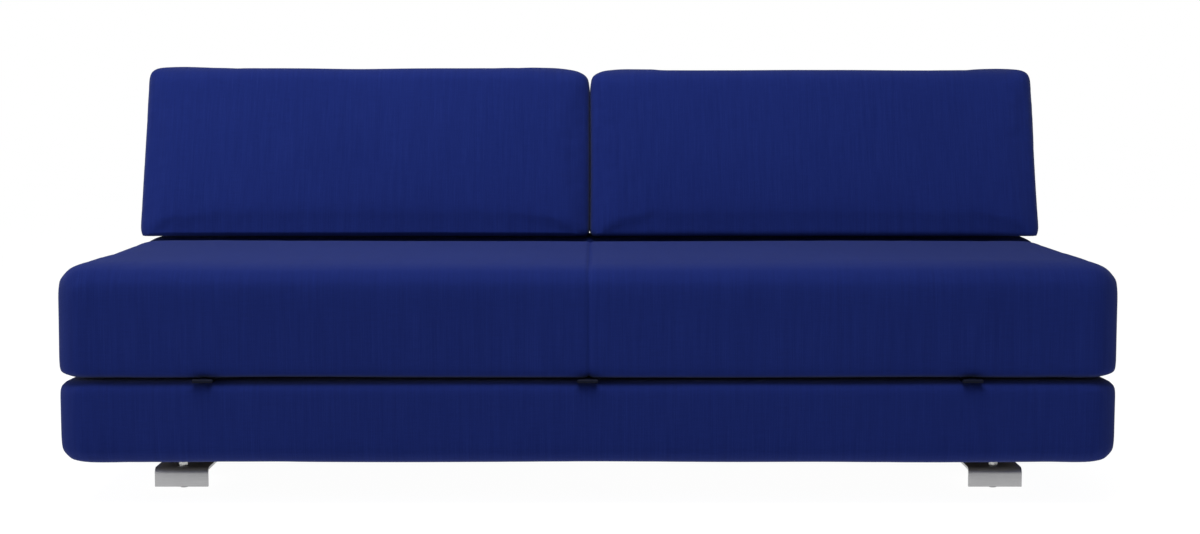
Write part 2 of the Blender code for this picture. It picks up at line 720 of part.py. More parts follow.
def bed_leg(word, side, board, cover):
    """A flat leg behind the seat that turns out on its bolt; returns the bolt, which the seat carries."""
    x = side * LEG_SPREAD
    face = SEAT_BACK + TOUCH
    reach = 2 * HINGE_Z - BOARD_MID - LEG_FLOOR_GAP
    length = reach + LEG_WIDTH / 2
    bm = block((length, LEG_THICKNESS, LEG_WIDTH))
    upright = [e for e in bm.edges if abs(e.verts[0].co.y - e.verts[1].co.y) > LEG_THICKNESS / 2]
    round_edges(bm, upright, LEG_WIDTH * 0.3)
    centre = (x - side * (length / 2 - LEG_WIDTH / 2), face + LEG_THICKNESS / 2, BOARD_MID)
    leg = part(f"bed_leg_{word}", bm, "black_steel", centre)
    depth = BOARD_INSET + LEG_BOLT_DEPTH
    hole = tool(
        f"leg_bolt_{word}",
        rod(BOLT_RADIUS + FIT, depth + 2 * LEG_THICKNESS, "Y"),
        (x, SEAT_BACK - depth / 2 + LEG_THICKNESS, BOARD_MID),
    )
    for piece in (board, cover, leg):
        carve(piece, hole)
    tip = LEG_THICKNESS + 2 * TOUCH
    profile = [
        (0, tip + BOLT_HEAD),
        (BOLT_HEAD_RADIUS * 0.7, tip + BOLT_HEAD),
        (BOLT_HEAD_RADIUS, tip + BOLT_HEAD * 0.5),
        (BOLT_HEAD_RADIUS, tip),
        (BOLT_RADIUS, tip),
        (BOLT_RADIUS, FIT - depth),
        (0, FIT - depth),
    ]
    bolt = turned(
        f"bed_leg_bolt_{word}", profile, "zinc", (x, SEAT_BACK, BOARD_MID), (-math.pi / 2, 0, 0)
    )
    axis = joint_axis(f"axis_bed_leg_{word}", (x, SEAT_BACK, BOARD_MID))
    ride_on(axis, [leg])
    return bolt


def pull_tab(word, side):
    x = side * TAB_SPREAD
    y = SEAT_BACK + TOUCH
    top = SEAT_HIGH - PULL_TOP
    low = (x - PULL_WIDTH / 2, y, top - PULL_LENGTH)
    high = (x + PULL_WIDTH / 2, y + PULL_THICKNESS, top)
    return box_part(f"pull_tab_{word}", low, high, "webbing")


def sofa_bed():
    front_rail, rear_rail = base_rails()
    feet(front_rail, rear_rail)
    base = base_mattress()
    ledge()
    back_cushions()
    board, upper, lower, cover = seat_mattress()
    moving = [board, upper, lower, cover]
    for tag, x in (("left", -HINGE_SPREAD), ("centre", 0), ("right", HINGE_SPREAD)):
        moving.append(hinge(tag, x, base, (lower, cover)))
    for word, side in (("left", -1), ("right", 1)):
        moving.append(bed_leg(word, side, board, cover))
        moving.append(pull_tab(word, side))
    ride_on(joint_axis("axis_seat_flip", (0, HINGE_Y, HINGE_Z)), moving)


for old in list(bpy.data.objects):
    bpy.data.objects.remove(old)
PARTS = fresh_collection("futon_sofa_bed")
TOOLS = fresh_collection("futon_sofa_bed_tools")
sofa_bed()
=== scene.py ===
"""The looks of the futon sofa bed: upholstery, feet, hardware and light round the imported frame."""

import json
import math

import bmesh
import bpy
import numpy as np
from mathutils import Matrix, Vector, noise
from mathutils.bvhtree import BVHTree

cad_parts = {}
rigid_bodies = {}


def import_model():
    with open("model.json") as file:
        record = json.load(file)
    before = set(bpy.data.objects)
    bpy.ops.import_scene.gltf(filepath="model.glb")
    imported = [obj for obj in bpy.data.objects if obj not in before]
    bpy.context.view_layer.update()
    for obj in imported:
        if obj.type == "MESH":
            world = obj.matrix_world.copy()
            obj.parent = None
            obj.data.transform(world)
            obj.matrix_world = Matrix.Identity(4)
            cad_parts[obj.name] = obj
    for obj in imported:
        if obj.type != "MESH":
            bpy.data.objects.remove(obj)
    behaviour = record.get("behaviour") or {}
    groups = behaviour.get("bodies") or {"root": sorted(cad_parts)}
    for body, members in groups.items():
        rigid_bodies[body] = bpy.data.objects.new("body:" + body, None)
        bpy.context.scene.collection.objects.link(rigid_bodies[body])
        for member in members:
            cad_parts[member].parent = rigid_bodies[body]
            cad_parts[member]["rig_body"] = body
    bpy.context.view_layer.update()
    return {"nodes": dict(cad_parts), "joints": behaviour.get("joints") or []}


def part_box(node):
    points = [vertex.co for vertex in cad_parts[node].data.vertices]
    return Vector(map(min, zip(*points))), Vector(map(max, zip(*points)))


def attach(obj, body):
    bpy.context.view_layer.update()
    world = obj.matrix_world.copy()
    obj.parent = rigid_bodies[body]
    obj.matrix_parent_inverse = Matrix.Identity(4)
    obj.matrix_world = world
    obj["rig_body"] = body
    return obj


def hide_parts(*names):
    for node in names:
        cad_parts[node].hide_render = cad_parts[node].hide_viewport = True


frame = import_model()

MM = 0.001
SIDES = {"left": -1, "right": 1}
FEET = [f"{end}_{side}" for end in ("front", "rear") for side in SIDES]


def span(node):
    low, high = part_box(node)
    return Vector(low), Vector(high)


SEAT_LOW, SEAT_HIGH = span("seat_cover")
BASE_LOW, BASE_HIGH = span("base_cover")
LEDGE_LOW, LEDGE_HIGH = span("ledge_cover")
FRONT_Y = SEAT_LOW.y
LEAN = Vector(next(j["axis"] for j in frame["joints"] if j["name"] == "cushion_left_lift"))

# Camera and light
EYE = Vector((0.023, FRONT_Y - 3.896, 0.775))
TILT = math.radians(4.71)
LENS = 63.0
FLOOR_Z = -0.0004
BACKDROP = 1.0
AIR = 0.30


# Materials ---------------------------------------------------------------------


class Finish:
    """A Principled material with a few short calls for its nodes."""

    def __init__(self, name, colour, roughness, metallic=0.0):
        self.material = bpy.data.materials.new(name)
        self.material.use_nodes = True
        self.tree = self.material.node_tree
        self.shader = self.tree.nodes["Principled BSDF"]
        self.set("Base Color", (*colour, 1))
        self.set("Roughness", roughness)
        self.set("Metallic", metallic)

    def set(self, socket, value):
        self.shader.inputs[socket].default_value = value

    def node(self, kind, **values):
        made = self.tree.nodes.new(kind)
        for key, value in values.items():
            setattr(made, key, value)
        return made

    def join(self, source, target):
        self.tree.links.new(source, target)

    def places(self, scale, uv=False, turn=(0, 0, 0)):
        """Object or UV coordinates, in metres, stretched by scale."""
        if uv:
            source = self.node("ShaderNodeUVMap", uv_map="grain").outputs["UV"]
        else:
            source = self.node("ShaderNodeTexCoord").outputs["Object"]
        mapping = self.node("ShaderNodeMapping")
        mapping.inputs["Scale"].default_value = scale
        mapping.inputs["Rotation"].default_value = turn
        self.join(source, mapping.inputs["Vector"])
        return mapping.outputs["Vector"]

    def noise(self, where, detail=3.0, rough=0.5, distortion=0.0):
        made = self.node("ShaderNodeTexNoise")
        made.inputs["Scale"].default_value = 1.0
        made.inputs["Detail"].default_value = detail
        made.inputs["Roughness"].default_value = rough
        made.inputs["Distortion"].default_value = distortion
        self.join(where, made.inputs["Vector"])
        return made.outputs["Fac"]

    def wave(self, where, direction):
        made = self.node("ShaderNodeTexWave", bands_direction=direction)
        made.inputs["Scale"].default_value = 1.0
        self.join(where, made.inputs["Vector"])
        return made.outputs["Fac"]

    def ramp(self, factor, stops):
        made = self.node("ShaderNodeValToRGB")
        while len(made.color_ramp.elements) < len(stops):
            made.color_ramp.elements.new(0.5)
        for element, (place, colour) in zip(made.color_ramp.elements, stops):
            element.position = place
            element.color = (*colour, 1)
        self.join(factor, made.inputs["Fac"])
        return made.outputs["Color"]

    def between(self, factor, low, high):
        made = self.node("ShaderNodeMapRange")
        made.inputs["From Min"].default_value = 0.3
        made.inputs["From Max"].default_value = 0.7
        made.inputs["To Min"].default_value = low
        made.inputs["To Max"].default_value = high
        self.join(factor, made.inputs["Value"])
        return made.outputs["Result"]

    def mix(self, first, second, share=0.5, blend="MIX"):
        made = self.node("ShaderNodeMix", data_type="RGBA", blend_type=blend)
        made.inputs["Factor"].default_value = share
        self.join(first, made.inputs["A"])
        self.join(second, made.inputs["B"])
        return made.outputs["Result"]

    def sum(self, first, second, operation="ADD"):
        made = self.node("ShaderNodeMath", operation=operation)
        self.join(first, made.inputs[0])
        self.join(second, made.inputs[1])
        return made.outputs["Value"]

    def bump(self, height, distance, strength=1.0, under=None):
        made = self.node("ShaderNodeBump")
        made.inputs["Distance"].default_value = distance
        made.inputs["Strength"].default_value = strength
        self.join(height, made.inputs["Height"])
        if under is not None:
            self.join(under, made.inputs["Normal"])
        return made.outputs["Normal"]

    def colour_from(self, socket):
        self.join(socket, self.shader.inputs["Base Color"])

    def rough_from(self, socket):
        self.join(socket, self.shader.inputs["Roughness"])

    def normal_from(self, socket):
        self.join(socket, self.shader.inputs["Normal"])


def blue_weave(name="blue_weave"):
    """Royal blue upholstery with long slubs down the warp and a fine plain weave."""
    f = Finish(name, (0.012, 0.022, 0.13), 0.92)
    slub = f.noise(f.places((430, 9, 1), uv=True), 4.0, 0.62)
    broad = f.noise(f.places((120, 3.5, 1), uv=True), 3.0, 0.55)
    weft = f.noise(f.places((26, 480, 1), uv=True), 2.0, 0.5)
    patch = f.noise(f.places((3.1, 2.3, 1), uv=True), 3.0, 0.5)
    threads = f.ramp(
        slub,
        [(0.30, (0.0062, 0.0140, 0.104)), (0.52, (0.0074, 0.0160, 0.112)), (0.74, (0.0096, 0.0192, 0.123))],
    )
    bands = f.ramp(broad, [(0.34, (0.90, 0.90, 0.92)), (0.66, (1.0, 1.0, 1.0))])
    cross = f.ramp(weft, [(0.35, (0.92, 0.92, 0.93)), (0.65, (1.0, 1.0, 1.0))])
    clouds = f.ramp(patch, [(0.35, (0.94, 0.94, 0.95)), (0.65, (1.0, 1.0, 1.0))])
    colour = f.mix(threads, bands, 1.0, "MULTIPLY")
    colour = f.mix(colour, cross, 1.0, "MULTIPLY")
    f.colour_from(f.mix(colour, clouds, 1.0, "MULTIPLY"))
    f.rough_from(f.between(slub, 0.84, 0.97))
    f.set("Sheen Weight", 0.065)
    f.set("Sheen Roughness", 0.45)
    f.set("Sheen Tint", (0.80, 0.88, 1.0, 1))
    f.set("Specular IOR Level", 0.03)
    warp = f.wave(f.places((262, 1, 1), uv=True), "X")
    fill = f.wave(f.places((1, 262, 1), uv=True), "Y")
    weave = f.sum(warp, fill, "MULTIPLY")
    under = f.bump(slub, 0.0006, 0.55)
    f.normal_from(f.bump(weave, 0.0003, 0.5, under))
    return f.material


def birch_ply():
    """Birch plywood: long grain on the faces and glued layers along the edges."""
    f = Finish("birch_ply", (0.60, 0.43, 0.26), 0.62)
    grain = f.noise(f.places((3, 60, 60), turn=(0, 0, 0.02)), 6.0, 0.6, 0.6)
    layers = f.wave(f.places((1, 1, 105)), "Z")
    face = f.ramp(grain, [(0.3, (0.50, 0.33, 0.18)), (0.5, (0.62, 0.44, 0.26)), (0.72, (0.70, 0.53, 0.34))])
    ply = f.ramp(layers, [(0.2, (0.78, 0.74, 0.70)), (0.6, (1, 1, 1))])
    f.colour_from(f.mix(face, ply, 1.0, "MULTIPLY"))
    f.rough_from(f.between(grain, 0.55, 0.75))
    f.normal_from(f.bump(grain, 0.0004, 0.35))
    return f.material


def pine_rail():
    """Softwood under a dark stain, with the grain showing through."""
    f = Finish("pine_rail", (0.030, 0.020, 0.014), 0.6)
    grain = f.noise(f.places((2.0, 34, 46)), 5.0, 0.6, 1.4)
    pores = f.noise(f.places((40, 700, 700)), 2.0)
    face = f.ramp(
        grain, [(0.28, (0.016, 0.010, 0.007)), (0.5, (0.030, 0.020, 0.014)), (0.75, (0.052, 0.036, 0.024))]
    )
    specks = f.ramp(pores, [(0.3, (0.82, 0.80, 0.78)), (0.5, (1, 1, 1))])
    f.colour_from(f.mix(face, specks, 1.0, "MULTIPLY"))
    f.rough_from(f.between(grain, 0.5, 0.7))
    f.normal_from(f.bump(grain, 0.0004, 0.3))
    return f.material


def satin_plate():
    """Satin aluminium-grey plate, brushed along its width, with faint handling marks."""
    f = Finish("satin_plate", (0.42, 0.42, 0.425), 0.42, 0.85)
    brushed = f.noise(f.places((14, 900, 900)), 4.0, 0.6)
    smudge = f.noise(f.places((22, 22, 22)), 3.0, 0.55)
    f.colour_from(f.ramp(brushed, [(0.3, (0.38, 0.38, 0.385)), (0.7, (0.47, 0.47, 0.475))]))
    f.rough_from(f.sum(f.between(brushed, 0.34, 0.44), f.between(smudge, -0.03, 0.06)))
    f.normal_from(f.bump(brushed, 0.00008, 0.4))
    return f.material


def navy_enamel():
    """Near-black powder coat on the hinges."""
    f = Finish("navy_enamel", (0.0015, 0.0028, 0.012), 0.7)
    peel = f.noise(f.places((520, 520, 520)), 2.0)
    f.colour_from(f.ramp(peel, [(0.3, (0.0010, 0.0020, 0.0090)), (0.7, (0.0020, 0.0036, 0.0140))]))
    f.rough_from(f.between(peel, 0.5, 0.7))
    f.normal_from(f.bump(peel, 0.00008, 0.5))
    f.set("Specular IOR Level", 0.1)
    return f.material


def film_faced_ply():
    """Plywood with a dark resin film on its faces and paler layers along the edges."""
    f = Finish("film_faced_ply", (0.020, 0.015, 0.012), 0.5)
    mottle = f.noise(f.places((30, 30, 30)), 4.0, 0.6)
    mesh_print = f.wave(f.places((160, 160, 1)), "DIAGONAL")
    f.colour_from(f.ramp(mottle, [(0.3, (0.016, 0.012, 0.010)), (0.7, (0.030, 0.022, 0.017))]))
    f.rough_from(f.between(mottle, 0.42, 0.62))
    f.normal_from(f.bump(mesh_print, 0.0002, 0.3))
    return f.material


def zinc_plated():
    f = Finish("zinc_plated", (0.66, 0.66, 0.64), 0.3, 1.0)
    spangle = f.noise(f.places((420, 420, 420)), 3.0, 0.6)
    f.colour_from(f.ramp(spangle, [(0.3, (0.54, 0.55, 0.54)), (0.7, (0.74, 0.74, 0.70))]))
    f.rough_from(f.between(spangle, 0.22, 0.42))
    f.normal_from(f.bump(spangle, 0.00005, 0.4))
    return f.material


def black_enamel():
    f = Finish("black_enamel", (0.012, 0.012, 0.013), 0.42, 0.3)
    peel = f.noise(f.places((520, 520, 520)), 2.0)
    f.colour_from(f.ramp(peel, [(0.3, (0.009, 0.009, 0.010)), (0.7, (0.020, 0.020, 0.022))]))
    f.rough_from(f.between(peel, 0.34, 0.52))
    f.normal_from(f.bump(peel, 0.00008, 0.5))
    return f.material


def moulded_black():
    f = Finish("moulded_black", (0.014, 0.014, 0.015), 0.55)
    grain = f.noise(f.places((1400, 1400, 1400)), 2.0)
    f.colour_from(f.ramp(grain, [(0.3, (0.010, 0.010, 0.011)), (0.7, (0.022, 0.022, 0.023))]))
    f.rough_from(f.between(grain, 0.45, 0.66))
    f.normal_from(f.bump(grain, 0.00006, 0.5))
    return f.material


def herringbone_webbing():
    f = Finish("herringbone_webbing", (0.014, 0.018, 0.040), 0.85)
    ribs = f.wave(f.places((180, 1, 180), turn=(0, math.radians(38), 0)), "X")
    f.colour_from(f.ramp(ribs, [(0.2, (0.007, 0.009, 0.022)), (0.8, (0.026, 0.033, 0.070))]))
    f.normal_from(f.bump(ribs, 0.0005, 0.6))
    f.set("Sheen Weight", 0.3)
    return f.material


def floor_paint():
    """A back-lit white sweep, which is why the piece throws hardly any shadow."""
    f = Finish("floor_paint", (0.10, 0.10, 0.10), 0.9)
    tone = f.noise(f.places((1.2, 1.2, 1.2)), 2.0)
    f.colour_from(f.ramp(tone, [(0.3, (0.095, 0.095, 0.095)), (0.7, (0.105, 0.105, 0.105))]))
    f.set("Specular IOR Level", 0.0)
    f.set("Emission Color", (1, 1, 1, 1))
    f.set("Emission Strength", 0.97)
    return f.material


FABRIC = blue_weave()
PLY = birch_ply()
PINE = pine_rail()
PLATE = satin_plate()
ZINC = zinc_plated()
NAVY = navy_enamel()
DECK = film_faced_ply()
ENAMEL = black_enamel()
MOULDED = moulded_black()
WEBBING = herringbone_webbing()


# Mesh helpers --------------------------------------------------------------------


def piece(name, bm, material, body, smooth=math.radians(35)):
    mesh = bpy.data.meshes.new(name)
    bm.normal_update()
    bm.to_mesh(mesh)
    bm.free()
    made = bpy.data.objects.new(name, mesh)
    bpy.context.scene.collection.objects.link(made)
    mesh.materials.append(material)
    mesh.shade_smooth()
    if smooth:
        mesh.set_sharp_from_angle(angle=smooth)
    if body:
        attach(made, body)
    return made


def bevel(bm, edges, offset, segments=3):
    bmesh.ops.bevel(
        bm, geom=list(edges), offset=offset, segments=segments, profile=0.5, affect="EDGES", material=-1
    )


def cube(low, high):
    bm = bmesh.new()
    bmesh.ops.create_cube(bm, size=1.0)
    bmesh.ops.scale(bm, vec=high - low, verts=bm.verts)
    bmesh.ops.translate(bm, vec=(low + high) / 2, verts=bm.verts)
    return bm


def pad_block(low, high, corner, top, bottom):
    """A block whose upright corners, top rim and bottom rim are rounded by their own radii."""
    bm = cube(low, high)
    tall = (high.z - low.z) / 2
    bevel(bm, [e for e in bm.edges if abs(e.verts[0].co.z - e.verts[1].co.z) > tall], corner, 5)
    for level, radius in ((high.z, top), (low.z, bottom)):
        rim = [e for e in bm.edges if all(abs(v.co.z - level) < 1e-5 for v in e.verts)]
        bevel(bm, rim, radius, 5)
    return bm


def evaluated(made, *modifiers):
    """The mesh after its modifiers, put back on the object, which then has none."""
    depsgraph = bpy.context.evaluated_depsgraph_get()
    mesh = bpy.data.meshes.new_from_object(made.evaluated_get(depsgraph))
    made.modifiers.clear()
    old = made.data
    made.data = mesh
    bpy.data.meshes.remove(old)
    return mesh


def points(mesh):
    flat = np.empty(len(mesh.vertices) * 3)
    mesh.vertices.foreach_get("co", flat)
    return flat.reshape(-1, 3)


def put_points(mesh, co):
    mesh.vertices.foreach_set("co", co.ravel())
    mesh.update()


def remesh(made, voxel):
    step = made.modifiers.new("voxels", "REMESH")
    step.mode = "VOXEL"
    step.voxel_size = voxel
    evaluated(made)


def inflate(made, cap, pressure=4.0, frames=16):
    """Cloth under inner pressure; no point ends further than cap from where it began."""
    start = points(made.data)
    cloth = made.modifiers.new("cloth", "CLOTH")
    settings = cloth.settings
    settings.quality = 4
    settings.use_pressure = True
    settings.uniform_pressure_force = pressure
    settings.effector_weights.gravity = 0
    cloth.point_cache.frame_start = 1
    cloth.point_cache.frame_end = frames
    for number in range(1, frames + 1):
        bpy.context.scene.frame_set(number)
    evaluated(made)
    bpy.context.scene.frame_set(1)
    moved = points(made.data) - start
    far = np.linalg.norm(moved, axis=1, keepdims=True)
    soft = cap * np.tanh(far / cap)
    put_points(made.data, start + moved * np.where(far > 1e-9, soft / np.maximum(far, 1e-9), 0))


def ripple(made, seed, amount, size):
    """Slow waves in the stuffing, along the normals."""
    mesh = made.data
    for v in mesh.vertices:
        at = v.co / size + Vector((seed * 7.3, seed * 3.1, 0))
        v.co += v.normal * amount * noise.noise(at)
    mesh.update()


def finer(made):
    step = made.modifiers.new("finer", "SUBSURF")
    step.levels = 1
    step.render_levels = 1
    evaluated(made)


def fill_box(made, low, high):
    """Stretches the swollen pad a little so that it fills the size it was cut to."""
    co = points(made.data)
    was_low, was_high = co.min(axis=0), co.max(axis=0)
    share = (co - was_low) / (was_high - was_low)
    put_points(made.data, np.array(low) + share * (np.array(high) - np.array(low)))


def keep_within(made, low, high):
    co = points(made.data)
    put_points(made.data, np.clip(co, np.array(low), np.array(high)))


def sew(made, where, normal, depth, half):
    """Pulls a narrow valley into the piece along the plane through where."""
    bm = bmesh.new()
    bm.from_mesh(made.data)
    normal = Vector(normal).normalized()
    for shift in (-half, -half * 0.45, 0, half * 0.45, half):
        bmesh.ops.bisect_plane(
            bm,
            geom=bm.verts[:] + bm.edges[:] + bm.faces[:],
            dist=1e-6,
            plane_co=where + normal * shift,
            plane_no=normal,
        )
    bm.normal_update()
    pulls = []
    for v in bm.verts:
        off = abs((v.co - where).dot(normal)) / half
        if off < 0.99:
            inward = v.normal - normal * v.normal.dot(normal)
            if inward.length > 0.2:
                pulls.append((v, inward.normalized() * depth * (1 - off) ** 1.5))
    for v, pull in pulls:
        v.co -= pull
    bm.to_mesh(made.data)
    bm.free()


def lay_grain(made):
    """UV in metres: the warp runs up the front, over the top and down the back."""
    mesh = made.data
    layer = mesh.uv_layers.get("grain") or mesh.uv_layers.new(name="grain")
    co = points(mesh)
    normals = np.empty(len(mesh.polygons) * 3)
    mesh.polygons.foreach_get("normal", normals)
    ends = np.abs(normals.reshape(-1, 3)[:, 0]) > 0.72
    corner = np.empty(len(mesh.loops), int)
    mesh.loops.foreach_get("vertex_index", corner)
    sizes = np.empty(len(mesh.polygons), int)
    mesh.polygons.foreach_get("loop_total", sizes)
    side = np.repeat(ends, sizes)
    at = co[corner]
    u = np.where(side, at[:, 1] + 5, at[:, 0])
    v = np.where(side, at[:, 2], at[:, 1] + at[:, 2])
    layer.data.foreach_set("uv", np.stack([u, v], axis=1).ravel())


def dress(made, body, nodes):
    made.data.materials.clear()
    made.data.materials.append(FABRIC)
    made.data.shade_smooth()
    lay_grain(made)
    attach(made, body)
    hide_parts(*nodes)


def raw(name, bm):
    mesh = bpy.data.meshes.new(name)
    bm.to_mesh(mesh)
    bm.free()
    made = bpy.data.objects.new(name, mesh)
    bpy.context.scene.collection.objects.link(made)
    return made


def cut_away(made, bm):
    tool = raw(f"{made.name}_tool", bm)
    cut = made.modifiers.new("cut", "BOOLEAN")
    cut.operation = "DIFFERENCE"
    cut.object = tool
    cut.solver = "EXACT"
    evaluated(made)
    bpy.data.objects.remove(tool)


# Upholstery ----------------------------------------------------------------------

SHRINK = 7 * MM  # the pads swell back out by about this much
PAD_VOXEL = 17 * MM
CUSHION_VOXEL = 12 * MM
CUSHION_INSET = 4 * MM
CUSHION_TALLER = {"left": 4.0, "right": 0.5}
SLEEVE_ROOM = Vector((2, 2, 4)) * MM
INNER_SWELL = 11 * MM  # swells past the other cushion, then rests against it
NOTCH_DEPTH = 60 * MM
NOTCH_WIDTH = 11 * MM
CORNER_REACH = 0.20
CORNER_DROP = {"left": 10 * MM, "right": 5 * MM}


def shrunk(low, high, x, front, back, top, bottom):
    return (
        Vector((low.x + x, low.y + front, low.z + bottom)),
        Vector((high.x - x, high.y - back, high.z - top)),
    )


def seat_mattress():
    low, high = shrunk(SEAT_LOW, SEAT_HIGH, SHRINK, SHRINK, 4 * MM, SHRINK, 1 * MM)
    made = raw("seat_mattress", pad_block(low, high, 52 * MM, 44 * MM, 15 * MM))
    remesh(made, PAD_VOXEL)
    inflate(made, 7 * MM)
    fill_box(made, SEAT_LOW - Vector((1, 0, 8)) * MM, SEAT_HIGH + Vector((1, 0, 2)) * MM)
    ripple(made, 1, 2.4 * MM, 0.34)
    finer(made)
    keep_within(made, SEAT_LOW - Vector((4, 0.5, 1.5)) * MM, SEAT_HIGH + Vector((4, 0, 2)) * MM)
    sew(made, Vector((0.002, 0, 0)), (1, 0, 0), 3.2 * MM, 7 * MM)
    dress(made, "seat", ("seat_cover", "seat_foam_upper", "seat_foam_lower"))
    return made


def base_mattress():
    low, high = shrunk(BASE_LOW, BASE_HIGH, SHRINK, SHRINK, SHRINK, 1 * MM, 1 * MM)
    made = raw("base_mattress", pad_block(low, high, 52 * MM, 13 * MM, 34 * MM))
    remesh(made, PAD_VOXEL)
    inflate(made, 7 * MM)
    fill_box(made, BASE_LOW - Vector((0, 0, 3)) * MM, BASE_HIGH + Vector((0, 0, 8)) * MM)
    ripple(made, 2, 2.4 * MM, 0.30)
    finer(made)
    keep_within(made, BASE_LOW - Vector((4, 0.5, 0)) * MM, BASE_HIGH + Vector((4, 4, 1.5)) * MM)
    open_underside(made)
    dress(made, "base", ("base_cover", "base_foam"))
    return made


def open_underside(made):
    """The recess in the underside that shows the deck boards and takes the rails."""
    deck_low, deck_high = span("base_deck_left")
    hem = 55 * MM
    low = Vector((deck_low.x + hem, deck_low.y + hem, BASE_LOW.z - 0.05))
    high = Vector((-low.x, deck_high.y - hem, deck_high.z + 0.5 * MM))
    cut_away(made, cube(low, high))


def ledge_pad():
    low, high = shrunk(LEDGE_LOW, LEDGE_HIGH, SHRINK, 2 * MM, SHRINK, 3 * MM, 1 * MM)
    made = raw("ledge_pad", pad_block(low, high, 40 * MM, 24 * MM, 16 * MM))
    remesh(made, PAD_VOXEL)
    inflate(made, 7 * MM)
    fill_box(made, LEDGE_LOW - Vector((0, 0, 5)) * MM, LEDGE_HIGH + Vector((0, 0, 4)) * MM)
    ripple(made, 3, 2.0 * MM, 0.3)
    finer(made)
    keep_within(
        made, LEDGE_LOW - Vector((4, -0.5, -0.2)) * MM, LEDGE_HIGH + Vector((4, 4, 0.5)) * MM
    )
    dress(made, "base", ("ledge_cover", "ledge_foam"))
    return made


def cushion_planes(node):
    """The front face's point and outward normal, and the rear face's, from the cushion's own CAD mesh."""
    outward = []
    for way in (-1, 1):
        facing = [p for p in frame["nodes"][node].data.polygons if way * p.normal.y > 0.8 and p.area > 1e-3]
        outer = max(facing, key=lambda p: p.center.dot(p.normal))
        outward.append((Vector(outer.center), Vector(outer.normal)))
    return outward


def back_cushion(side):
    node = f"cushion_cover_{side}"
    low, high = span(node)
    (front_at, front_n), (rear_at, rear_n) = cushion_planes(node)
    bm = cube(Vector((low.x + 5 * MM, -1, low.z + 3 * MM)), Vector((high.x - 5 * MM, 1, high.z - 6 * MM)))
    fronts = {v for v in bm.verts if v.co.y < 0}
    for v in bm.verts:
        at, n = (front_at, front_n) if v in fronts else (rear_at, rear_n)
        v.co.y = at.y - n.z * (v.co.z - at.z) / n.y - math.copysign(CUSHION_INSET, n.y)
    bevel(bm, bm.edges, 20 * MM, 4)
    made = raw(f"back_cushion_{side}", bm)
    remesh(made, CUSHION_VOXEL)
    inflate(made, 5 * MM, 2.0)
    room_low, room_high = Vector((4, 0, 15)) * MM, Vector((4, 0, CUSHION_TALLER[side])) * MM
    if side == "left":
        room_high.x = INNER_SWELL
    else:
        room_low.x = INNER_SWELL
    fill_box(made, low - room_low, high + room_high)
    drop_inner_corner(made, side, high)
    ripple(made, 4 + SIDES[side], 2.0 * MM, 0.22)
    finer(made)
    touching = 1.95 * MM
    within_low, within_high = low - Vector((9, 900, 0)) * MM, high + Vector((9, 900, 9)) * MM
    if side == "left":
        within_high.x = high.x + touching
    else:
        within_low.x = low.x - touching
    keep_within(made, within_low, within_high)
    open_notch(made, side, high)
    for place in ("inner", "outer"):
        cut_away(made, post_sleeve(f"back_post_{side}_{place}"))
    dress(made, f"back_cushion_{side}", (node, f"cushion_foam_{side}"))
    return made


def drop_inner_corner(made, side, high):
    """The stuffing settles at the top corner next to the other cushion."""
    reach, drop = CORNER_REACH, CORNER_DROP[side]
    for v in made.data.vertices:
        near = max(0.0, 1 - abs(v.co.x) / reach) ** 2
        tall = min(1.0, max(0.0, (v.co.z - high.z + 0.20) / 0.20))
        v.co.z -= drop * near * tall


def post_sleeve(post):
    """The leaning slot in a cushion that a flat post slides in, with room all round."""
    low, high = span(post)
    deep, tall = high.y - low.y, high.z - low.z
    thickness = (deep * LEAN.z - tall * LEAN.y) / (LEAN.z**2 - LEAN.y**2)
    length = (tall * LEAN.z - deep * LEAN.y) / (LEAN.z**2 - LEAN.y**2)
    size = Vector((high.x - low.x, thickness, length)) / 2 + SLEEVE_ROOM
    bm = cube(-size, size)
    lean = Vector((0, 0, 1)).rotation_difference(LEAN).to_matrix()
    bmesh.ops.rotate(bm, cent=(0, 0, 0), matrix=lean, verts=bm.verts)
    bmesh.ops.translate(bm, vec=(low + high) / 2, verts=bm.verts)
    return bm


def open_notch(made, side, high):
    """The two top corners draw back from each other."""
    for v in made.data.vertices:
        near = max(0.0, 1 - abs(v.co.x) / 0.09)
        tall = min(1.0, max(0.0, (v.co.z - high.z + NOTCH_DEPTH) / NOTCH_DEPTH))
        v.co.x += SIDES[side] * NOTCH_WIDTH * near * tall**2


# Hardware ------------------------------------------------------------------------

NUT_BORE = 5.2 * MM
THREAD_TURNS = 32
THREAD_PITCH = 1.5  # mm
TOOTH_PITCH = 3.2 * MM
ZIP_INSET = 160 * MM  # from the cushion's sides
ZIP_LEVEL = 60 * MM  # above its underside
ZIP_WIDTH = 24 * MM


def body_of(node):
    return frame["nodes"][node]["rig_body"]


def eased(node, material, edge):
    """The plain part again, with its sharp edges eased by a small bevel."""
    bm = bmesh.new()
    bm.from_mesh(frame["nodes"][node].data)
    bmesh.ops.remove_doubles(bm, verts=bm.verts, dist=1e-5)
    bmesh.ops.dissolve_limit(bm, angle_limit=math.radians(1), verts=bm.verts, edges=bm.edges)
    bm.normal_update()
    bevel(bm, [e for e in bm.edges if e.is_convex and e.calc_face_angle(0) > 0.9], edge, 2)
    made = piece(f"eased_{node}", bm, material, body_of(node))
    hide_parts(node)


def spun(profile, steps=28):
    bm = bmesh.new()
    line = [bm.verts.new((r, 0, z)) for r, z in profile]
    edges = [bm.edges.new(pair) for pair in zip(line, line[1:])]
    bmesh.ops.spin(
        bm, geom=line + edges, axis=(0, 0, 1), cent=(0, 0, 0), angle=2 * math.pi, steps=steps, use_merge=True
    )
    bmesh.ops.remove_doubles(bm, verts=bm.verts, dist=1e-6)
    bmesh.ops.recalc_face_normals(bm, faces=bm.faces)
    return bm


